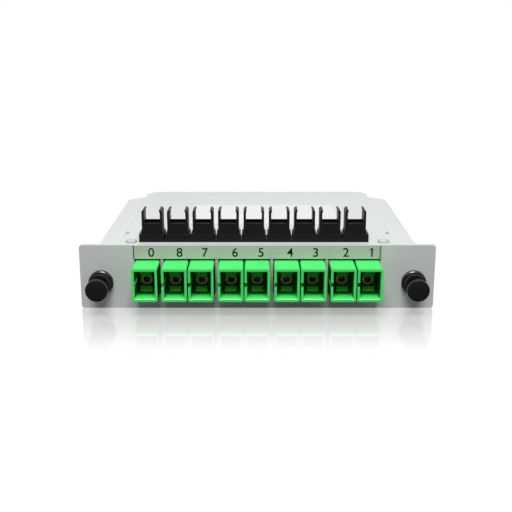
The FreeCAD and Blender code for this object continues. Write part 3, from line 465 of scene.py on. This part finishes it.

# %% [markdown]
# A mouth looks nearly black a few millimetres in. Its walls take the deeper, matt green as painted
# shade, from just behind the rim, and so do the sides that stand close to the next adapter and all
# that lies behind the panel's face. The floor keeps its gloss, and so does the rest of the outside.
# In each carrier, the tube on the port's axis is olive.

# %% Painted shade and tube colour inside the mouths
# Sizes that mark where the painted shade goes in each adapter.
MOUTH_HALF_WIDE = 3.65 * MM
MOUTH_HALF_HIGH = 5.0 * MM
FLOOR_SHARE = 0.97
RIM_DEEP = 0.6 * MM
SIDE_SKIN = 0.05 * MM
OUTER_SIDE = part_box("adapter_housing_1")[1][0] - SIDE_SKIN
SIDE_FROM = OUTER_SIDE - middle_of("adapter_housing_1")[0]
TUBE_RADIUS = 2.25 * MM

for port in PORTS:
    across, _, up = middle_of("adapter_housing_" + port)
    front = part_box("adapter_housing_" + port)[0][1]

    # Painted shade: the mouth walls behind the rim, the sides facing a neighbour and all behind the
    # panel.
    def rough(spot):
        in_mouth = abs(spot.x - across) < MOUTH_HALF_WIDE and abs(spot.z - up) < MOUTH_HALF_HIGH
        floor_face = spot.z < up - FLOOR_SHARE * MOUTH_HALF_HIGH
        inner_side = abs(spot.x - across) > SIDE_FROM and abs(spot.x) < OUTER_SIDE
        behind_rim = spot.y > front + RIM_DEEP
        return behind_rim and (in_mouth and not floor_face or inner_side) or spot.y > HIDDEN_FROM

    def in_tube(spot):
        return math.hypot(spot.x - across, spot.z - up) < TUBE_RADIUS

    # The housing's faces in shade take the deeper green as painted shade.
    second_finish(bpy.data.objects["adapter_housing_dressed_" + port], painted_shade_green, rough)
    second_finish(bpy.data.objects["latch_carrier_dressed_" + port], tube_olive, in_tube)
print("mouths are finished")

# %% [markdown]
# ## The latches
# Each latch is a plunger in a split grommet. The grommet is rounded like the rest. The plunger is
# turned: a knob, a thinner neck and a long shaft. It is modelled as it would be on a lathe, from a
# disc whose rear face is inset and drawn out twice, and it slides with its own body.

# %% Grommets
for side in ("left", "right"):
    piece = softened("grommet_dressed_" + side, "grommet_" + side, 0.22, 3)
    stands_for(piece, "grommet_" + side)
    print(piece.name, len(piece.data.polygons), "faces")

# %% Plungers
KNOB_SIDES = 64
KNOB_THICK = 2.2 * MM
NECK_RADIUS = 2.2 * MM
NECK_LONG = 5.2 * MM
SHAFT_RADIUS = 1.62 * MM
TURNED_EDGE = 0.4 * MM


def rear_face(mesh):
    """Select the face that looks back along +Y and lies furthest that way."""
    for polygon in mesh.polygons:
        polygon.select = False
    back = [polygon for polygon in mesh.polygons if polygon.normal.y > 0.99]
    max(back, key=lambda polygon: polygon.center.y).select = True


def drawn_out(thing, shrink, length):
    """Inset the rear face and draw it out."""
    bpy.ops.object.mode_set(mode="OBJECT")
    rear_face(thing.data)
    bpy.ops.object.mode_set(mode="EDIT")
    bpy.ops.mesh.inset(thickness=shrink)
    move = {"value": (0, length, 0)}
    bpy.ops.mesh.extrude_region_move(TRANSFORM_OT_translate=move)


def plunger(side):
    """A plunger turned from a disc: knob, neck and shaft."""
    low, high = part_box("plunger_" + side)
    knob = (high[0] - low[0]) / 2
    spot = ((low[0] + high[0]) / 2, low[1] + KNOB_THICK / 2, (low[2] + high[2]) / 2)
    bpy.ops.object.select_all(action="DESELECT")
    turn = (math.radians(90), 0, 0)
    bpy.ops.mesh.primitive_cylinder_add(
        vertices=KNOB_SIDES, radius=knob, depth=KNOB_THICK, location=spot, rotation=turn)
    thing = bpy.context.object
    thing.name = "plunger_dressed_" + side
    bpy.ops.object.transform_apply(location=True, rotation=True, scale=True)
    bpy.ops.object.mode_set(mode="EDIT")
    bpy.ops.mesh.select_mode(type="FACE")
    drawn_out(thing, knob - NECK_RADIUS, NECK_LONG)
    drawn_out(thing, NECK_RADIUS - SHAFT_RADIUS, high[1] - low[1] - KNOB_THICK - NECK_LONG)
    bpy.ops.object.mode_set(mode="OBJECT")
    bevel = thing.modifiers.new("edge_radius", "BEVEL")
    bevel.width = TURNED_EDGE
    bevel.segments = 4
    bevel.limit_method = "ANGLE"
    bevel.angle_limit = math.radians(60)
    bpy.ops.object.modifier_apply(modifier=bevel.name)
    bpy.ops.object.shade_smooth_by_angle(angle=math.radians(35))
    return thing


for side in ("left", "right"):
    piece = plunger(side)
    stands_for(piece, "plunger_" + side, side + "_plunger")
    print(piece.name, len(piece.data.polygons), "faces")

# %% [markdown]
# ## The numbers
# Every port has its plain number over it, printed on the foil. Text in Blender is a curve. It gets a
# trace of thickness, becomes a mesh, and only then is its place applied, so that the finished piece
# stands at the origin like the rest. A digit fills seven tenths of the font's size. The numbers
# aren't quite over their ports on the real strip.

# %% Printed numbers
DIGIT_HIGH = 3.3 * MM
FONT_SHARE = 0.7
DIGIT_LEVEL = 21.15 * MM
INK_THICK = 0.01 * MM
INK_SPREAD = 0.05 * MM
NUMBER_SHIFTS = {
    "input": 1.5, "8": 1.3, "7": 1.0, "6": 1.4, "5": 1.4, "4": 1.4, "3": 1.2, "2": 1.6, "1": 1.6,
}

strip_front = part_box("marking_strip")[0][1]
for port, shift_mm in NUMBER_SHIFTS.items():
    low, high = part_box("adapter_housing_" + port)
    middle = (low[0] + high[0]) / 2 + shift_mm * MM
    bpy.ops.object.select_all(action="DESELECT")
    bpy.ops.object.text_add(location=(middle, strip_front - INK_THICK, DIGIT_LEVEL))
    number = bpy.context.object
    number.rotation_euler = (math.radians(90), 0, 0)
    number.data.body = "0" if port == "input" else port
    number.data.align_x = "CENTER"
    number.data.align_y = "CENTER"
    number.data.size = DIGIT_HIGH / FONT_SHARE
    number.data.extrude = INK_THICK
    number.data.offset = INK_SPREAD
    bpy.ops.object.convert(target="MESH")
    bpy.ops.object.transform_apply(location=True, rotation=True, scale=True)
    number.name = "number_" + port
    number.data.materials.clear()
    number.data.materials.append(ink)
    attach(number, CARD)
print("numbers:", len(NUMBER_SHIFTS))

# %% [markdown]
# The font's 1 is a bare bar, and the strip has two more dark strokes: a thin line closes it at
# each end. A stroke is a small plane, turned to face the front and given the ink's thickness by a
# Solidify modifier. The first stroke made here is the flag of the 1, and it is joined to the bar.


# %% Flag of the 1 and the end lines
def stroke(name, across, up, wide, high, lean=0.0):
    """A thin dark stroke on the strip, leaning by an angle in degrees."""
    bpy.ops.object.select_all(action="DESELECT")
    spot = (across, strip_front - INK_THICK, up)
    turn = (math.radians(90), math.radians(lean), 0)
    bpy.ops.mesh.primitive_plane_add(size=1, location=spot, rotation=turn)
    line = bpy.context.object
    line.name = name
    line.scale = (wide, high, 1)
    bpy.ops.object.transform_apply(location=True, rotation=True, scale=True)
    skin = line.modifiers.new("ink_thickness", "SOLIDIFY")
    skin.thickness = INK_THICK
    skin.offset = 0
    bpy.ops.object.modifier_apply(modifier=skin.name)
    line.data.materials.append(ink)
    return line


FLAG_LEFT = 0.2 * MM
FLAG_DOWN = 0.5 * MM
FLAG_LONG = 1.05 * MM
FLAG_WIDE = 0.36 * MM
FLAG_LEAN = -40
LINE_WIDE = 0.3 * MM
LINE_LOW = 19.0 * MM
LINE_PLACES = {"left": -45.1 * MM, "right": 44.7 * MM}

one = bpy.data.objects["number_1"]
bar_left = min(vertex.co.x for vertex in one.data.vertices)
bar_top = max(vertex.co.z for vertex in one.data.vertices)
flag_spot = (bar_left - FLAG_LEFT, bar_top - FLAG_DOWN)
flag = stroke("flag", *flag_spot, FLAG_LONG, FLAG_WIDE, FLAG_LEAN)
select_only(one)
flag.select_set(True)
bpy.ops.object.join()

line_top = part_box("marking_strip")[1][2]
for side, across in LINE_PLACES.items():
    middle = (LINE_LOW + line_top) / 2
    line = stroke("strip_line_" + side, across, middle, LINE_WIDE, line_top - LINE_LOW)
    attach(line, CARD)
print("lines:", len(LINE_PLACES))

# %% [markdown]
# ## The table
# The card stands on a white lacquered table that mirrors it faintly where it stands and less further
# off. Rays straight from the camera see the lacquer lifted to white. All other rays see a middle
# grey, so that the table doesn't flood the card with light from below. The lift leaves the shadow.

# %% Floor
TABLE_WIDE = 6.0
MIRROR_FROM = -50 * MM
MIRROR_TO = -2 * MM
MIRROR_MOST = 0.6
MIRROR_ROUGHNESS = 0.02
LIFT_NEAR = 0.82
LIFT_FAR = 0.98
LIFT_FROM = 0.15
LIFT_TO = 0.8

bpy.ops.object.select_all(action="DESELECT")
bpy.ops.mesh.primitive_plane_add(size=TABLE_WIDE, location=(0, 0, 0))
floor = bpy.context.object
floor.name = "table"
table = bpy.data.materials.new("lacquered_board_white")
table.use_nodes = True
tree = table.node_tree
tree.nodes.clear()
board = add(tree, "ShaderNodeBsdfDiffuse", {"Color": colour("#868686")})
where = add(tree, "ShaderNodeTexCoord")
place = where.outputs["Object"]
away = add(tree, "ShaderNodeVectorMath", {"operation": "LENGTH"}, {"Vector": place})
rise = {"From Min": LIFT_FROM, "From Max": LIFT_TO, "To Min": LIFT_NEAR, "To Max": LIFT_FAR}
level = add(tree, "ShaderNodeMapRange", rise, {"Value": away.outputs["Value"]})
ray = add(tree, "ShaderNodeLightPath")
shown = add(tree, "ShaderNodeMath", {"operation": "MULTIPLY"})
tree.links.new(ray.outputs["Is Camera Ray"], shown.inputs[0])
tree.links.new(level.outputs["Result"], shown.inputs[1])
lift = add(tree, "ShaderNodeEmission", {"Color": colour("#FFFFFF")}, {"Strength": shown.outputs[0]})
white = add(tree, "ShaderNodeAddShader")
tree.links.new(board.outputs["BSDF"], white.inputs[0])
tree.links.new(lift.outputs["Emission"], white.inputs[1])
axes = add(tree, "ShaderNodeSeparateXYZ", links={"Vector": place})
reach = {"From Min": MIRROR_FROM, "From Max": MIRROR_TO, "To Min": 0.0, "To Max": MIRROR_MOST}
fade = add(tree, "ShaderNodeMapRange", reach, {"Value": axes.outputs["Y"]})
shine = {"Color": colour("#FFFFFF"), "Roughness": MIRROR_ROUGHNESS}
mirror = add(tree, "ShaderNodeBsdfGlossy", shine)
faint = add(tree, "ShaderNodeMath", {"operation": "MULTIPLY"})
tree.links.new(ray.outputs["Is Camera Ray"], faint.inputs[0])
tree.links.new(fade.outputs["Result"], faint.inputs[1])
lacquer = add(tree, "ShaderNodeMixShader", links={"Fac": faint.outputs[0]})
tree.links.new(white.outputs["Shader"], lacquer.inputs[1])
tree.links.new(mirror.outputs["BSDF"], lacquer.inputs[2])
add(tree, "ShaderNodeOutputMaterial", links={"Surface": lacquer.outputs["Shader"]})
floor.data.materials.append(table)
print("floor is ready")

# %% [markdown]
# ## Light
# The room lights the card with an even, soft grey, and the camera, the mirror in the table and shiny
# surfaces see it as white. A lamp hangs high before the card. It makes the tops of the adapters and
# the panel's upper edge brighter than their fronts, and reaches only the first few millimetres of
# each adapter's floor, which leaves the rest of the mouth dark.

# %% Room and lamp
ROOM_LEVEL = 0.24
LAMP_POWER = 7.2
LAMP_AWAY = 0.9
LAMP_LIFT = math.radians(66)
LAMP_WIDE = 0.4
LAMP_DEEP = 0.28

world = bpy.data.worlds.new("white_room")
bpy.context.scene.world = world
world.use_nodes = True
tree = world.node_tree
tree.nodes.clear()
ray = add(tree, "ShaderNodeLightPath")
seen = add(tree, "ShaderNodeMath", {"operation": "MAXIMUM"})
tree.links.new(ray.outputs["Is Camera Ray"], seen.inputs[0])
tree.links.new(ray.outputs["Is Glossy Ray"], seen.inputs[1])
shown = add(tree, "ShaderNodeMath", {"operation": "MAXIMUM"})
tree.links.new(seen.outputs[0], shown.inputs[0])
tree.links.new(ray.outputs["Is Transmission Ray"], shown.inputs[1])
soft = add(tree, "ShaderNodeBackground", {"Color": colour("#FFFFFF"), "Strength": ROOM_LEVEL})
plain = add(tree, "ShaderNodeBackground", {"Color": colour("#FFFFFF"), "Strength": 1.0})
pick = add(tree, "ShaderNodeMixShader", links={"Fac": shown.outputs[0]})
tree.links.new(soft.outputs["Background"], pick.inputs[1])
tree.links.new(plain.outputs["Background"], pick.inputs[2])
add(tree, "ShaderNodeOutputWorld", links={"Surface": pick.outputs["Shader"]})

spot = (0, -LAMP_AWAY * math.cos(LAMP_LIFT), LAMP_AWAY * math.sin(LAMP_LIFT))
tilt = (math.pi / 2 - LAMP_LIFT, 0, 0)
bpy.ops.object.light_add(type="AREA", location=spot, rotation=tilt)
lamp = bpy.context.object
lamp.name = "high_lamp"
lamp.data.shape = "RECTANGLE"
lamp.data.size = LAMP_WIDE
lamp.data.size_y = LAMP_DEEP
lamp.data.energy = LAMP_POWER
print("lamp power", lamp.data.energy, "W")

# %% [markdown]
# ## Camera
# The card is seen from the front and a little above, from about a third of a metre, with a lens
# that is slightly longer than normal. From that near, the lid still narrows towards the back.

# %% Camera
CAMERA_PLACE = (-0.5 * MM, -313.5 * MM, 106.9 * MM)
CAMERA_DIP = 15.6
CAMERA_LENS = 62.35
SENSOR_WIDE = 36.0
NEAREST_SEEN = 10 * MM

bpy.ops.object.camera_add(location=CAMERA_PLACE)
camera = bpy.context.object
camera.name = "main_camera"
camera.rotation_euler = (math.radians(90 - CAMERA_DIP), 0, 0)
camera.data.lens = CAMERA_LENS
camera.data.sensor_width = SENSOR_WIDE
camera.data.clip_start = NEAREST_SEEN
bpy.context.scene.camera = camera
bpy.context.scene.view_settings.view_transform = "Standard"
print("camera lens", camera.data.lens, "mm")

# %% [markdown]
# ## Finish
# The last cell ends the script.

# %% End
print("the scene is built")
